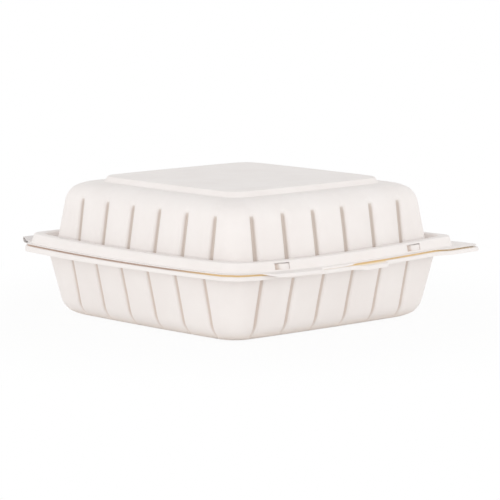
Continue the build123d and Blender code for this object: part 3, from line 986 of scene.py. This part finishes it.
class CLAMSHELL_OT_hinge(bpy.types.Operator):
    """Build the hinge film that folds out and up between the two flanges"""
    bl_idname = "clamshell.hinge"
    bl_label = "Hinge film"

    def execute(self, context):
        settings = context.scene.clamshell
        rim, tabs, film = settings.rim, settings.tabs, settings.film
        lid_flange, _, tray_flange, _ = flange_levels(rim)
        edge = rim.tray_flange_half + rim.bow + tabs.land_reach
        low, high = tray_flange - rim.sheet / 2, lid_flange - rim.sheet / 2
        middle = (low + high) / 2
        # The fold line's guide: shares of the nose's reach, and heights
        fold_guide = ((0.0, low), (0.55, low), (0.95, low + 0.5 * film.rise), (0.92, middle + film.rise),
                      (0.45, middle + 0.78 * film.rise), (0.0, high))
        curve = bpy.data.curves.new("fold_line", "CURVE")
        curve.dimensions = "3D"
        spline = curve.splines.new("NURBS")
        spline.points.add(len(fold_guide) - 1)
        for point, (out, height) in zip(spline.points, fold_guide):
            point.co = (0, edge + out * film.nose, height, 1)
        spline.order_u = 3
        spline.use_endpoint_u = True
        spline.resolution_u = 8
        guide = bpy.data.objects.new("fold_line", curve)
        line = bpy.data.meshes.new_from_object(guide)
        fold = [vertex.co.copy() for vertex in line.vertices]
        bpy.data.objects.remove(guide)
        bpy.data.meshes.remove(line)
        stations = np.linspace(-tabs.land_half, tabs.land_half, FILM_STATIONS)
        points = [(x, place.y, place.z) for x in stations for place in fold]
        width = len(fold)
        faces = [(row * width + index, (row + 1) * width + index, (row + 1) * width + index + 1,
                  row * width + index + 1)
                 for row in range(len(stations) - 1) for index in range(width - 1)]
        mesh = bpy.data.meshes.new("hinge_film")
        mesh.from_pydata(points, [], faces)
        piece = bpy.data.objects.new("hinge_film", mesh)
        context.scene.collection.objects.link(piece)
        finished_mesh(piece, film.thickness, 0.0).materials.append(film_material(settings.finish))
        edge - 0.84 * MM
        low + 1.12 * MM
        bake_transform(piece)
        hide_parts("living_hinge")
        return {"FINISHED"}


# Stage, in metres

FLOOR_HALF = 6.0
FLOOR_COLOUR = (0.94, 0.93, 0.92, 1)
# Distances from the middle between which the floor's shadow fades out
SHADOW_FADE = (0.12, 0.26)
# Places of the two lights, and the size of each
LEFT_PLACE = (-1.6, -0.45, 0.15)
RIGHT_PLACE = (0.55, -1.6, 0.15)
LAMP_SIZE = (1.2, 0.9)
# Shift of the camera's picture, as a share of its width
FRAMING_SHIFT = (0.0178, -0.0056)


class CLAMSHELL_OT_stage(bpy.types.Operator):
    """Build the floor, the lights, the world and the camera"""
    bl_idname = "clamshell.stage"
    bl_label = "Stage"

    def execute(self, context):
        stage = context.scene.clamshell.stage
        self.floor(context, stage)
        self.lights(context, stage)
        self.world(context, stage)
        self.camera(context, stage)
        context.scene.view_settings.view_transform = "Standard"
        return {"FINISHED"}

    def floor(self, context, stage):
        """A pale floor that the camera sees as white but for the object's soft shadow."""
        mesh = bpy.data.meshes.new("floor")
        half = FLOOR_HALF
        mesh.from_pydata([(-half, -half, 0), (half, -half, 0), (half, half, 0), (-half, half, 0)], [],
                         [(0, 1, 2, 3)])
        material, graph = new_material("floor_pale")
        seen = self.seen_directly(graph)
        radius = graph.node("ShaderNodeVectorMath", {"operation": "LENGTH"}, [graph.place()], "Value")
        near = graph.ramp(radius, *SHADOW_FADE, stage.floor_glow, 1.0)
        diffuse = graph.node("ShaderNodeBsdfDiffuse", {}, {"Color": FLOOR_COLOUR})
        glow = graph.node("ShaderNodeEmission", {}, {"Color": (1, 1, 1, 1), "Strength": 1.0})
        mixed = graph.node("ShaderNodeMixShader", {}, [near * seen, diffuse, glow])
        graph.node("ShaderNodeOutputMaterial", {}, {"Surface": mixed})
        mesh.materials.append(material)
        floor = bpy.data.objects.new("floor", mesh)
        context.scene.collection.objects.link(floor)

    def seen_directly(self, graph):
        """1 for rays from the camera and for rays by way of gloss or glass."""
        path = graph.tree.nodes.new("ShaderNodeLightPath")
        camera, glossy, through = [Value(graph, path.outputs[name]) for name in
                                   ("Is Camera Ray", "Is Glossy Ray", "Is Transmission Ray")]
        return camera.math("MAXIMUM", glossy).math("MAXIMUM", through)

    def lights(self, context, stage):
        """Two broad lights at the front left and front right."""
        for name, place, power in (("light_left", Vector(LEFT_PLACE), stage.left_key),
                                   ("light_right", Vector(RIGHT_PLACE), stage.right_key)):
            lamp = bpy.data.lights.new(name, "AREA")
            lamp.energy, lamp.shape = power, "RECTANGLE"
            lamp.size, lamp.size_y = LAMP_SIZE
            light = bpy.data.objects.new(name, lamp)
            light.location = place
            aim = Vector((0, 0, stage.aim_height)) - place
            light.rotation_euler = aim.to_track_quat("-Z", "Y").to_euler()
            light.visible_camera = False
            context.scene.collection.objects.link(light)

    def world(self, context, stage):
        """Light from all round, stronger from the sides than from above, that looks white to the camera."""
        world = bpy.data.worlds.new("studio")
        context.scene.world = world
        world.use_nodes = True
        world.node_tree.nodes.clear()
        graph = Graph(world.node_tree)
        seen = self.seen_directly(graph)
        overhead = graph.along(graph.place("Generated"), "Z").math("MAXIMUM", 0.0).math("SQRT")
        light = overhead * (stage.top_light - stage.side_light) + stage.side_light
        strength = seen * (1 - light) + light
        background = graph.node("ShaderNodeBackground", {}, {"Color": (1, 1, 1, 1), "Strength": strength})
        graph.node("ShaderNodeOutputWorld", {}, {"Surface": background})

    def camera(self, context, stage):
        """The photograph's viewpoint, with the small shift that its framing needs."""
        lens = bpy.data.cameras.new("camera")
        lens.sensor_fit, lens.sensor_width, lens.lens = "HORIZONTAL", 36.0, stage.lens
        lens.shift_x, lens.shift_y = FRAMING_SHIFT
        lens.clip_end = 20.0
        ahead = Vector((math.sin(stage.azimuth) * math.cos(stage.elevation),
                        math.cos(stage.azimuth) * math.cos(stage.elevation), -math.sin(stage.elevation)))
        camera = bpy.data.objects.new("camera", lens)
        camera.location = Vector((0, 0, stage.aim_height)) - ahead * stage.distance
        camera.rotation_euler = ahead.to_track_quat("-Z", "Y").to_euler()
        context.scene.collection.objects.link(camera)
        context.scene.camera = camera


class ClamshellSettings(bpy.types.PropertyGroup):
    """All settings of the container and its stage."""
    rim: group("Rim", RimSizes)
    tabs: group("Tabs", TabSizes)
    lid: group("Lid", LidSizes)
    tray: group("Tray", TraySizes)
    grooves: group("Grooves", GrooveSizes)
    film: group("Film", FilmSizes)
    finish: group("Finish", FinishSettings)
    stage: group("Stage", StageSettings)


class CLAMSHELL_PT_panel(bpy.types.Panel):
    """Sidebar panel with the container's operators and settings"""
    bl_idname = "CLAMSHELL_PT_panel"
    bl_label = "Clamshell"
    bl_space_type = "VIEW_3D"
    bl_region_type = "UI"
    bl_category = "Clamshell"

    def draw(self, context):
        for operator in OPERATORS:
            self.layout.operator(operator.bl_idname)
        settings = context.scene.clamshell
        for part in ClamshellSettings.__annotations__:
            box = self.layout.box()
            box.label(text=part.capitalize())
            for name in getattr(settings, part).__annotations__:
                box.prop(getattr(settings, part), name)


OPERATORS = (CLAMSHELL_OT_lid, CLAMSHELL_OT_tray, CLAMSHELL_OT_hinge, CLAMSHELL_OT_stage)
CLASSES = (RimSizes, TabSizes, LidSizes, TraySizes, GrooveSizes, FilmSizes, FinishSettings, StageSettings,
           ClamshellSettings, *OPERATORS, CLAMSHELL_PT_panel)


def register():
    for cls in CLASSES:
        bpy.utils.register_class(cls)
    bpy.types.Scene.clamshell = group("Clamshell", ClamshellSettings)


def unregister():
    del bpy.types.Scene.clamshell
    for cls in reversed(CLASSES):
        bpy.utils.unregister_class(cls)


def main():
    register()
    bpy.ops.clamshell.lid()
    bpy.ops.clamshell.tray()
    bpy.ops.clamshell.hinge()
    bpy.ops.clamshell.stage()


if __name__ == "__main__":
    main()
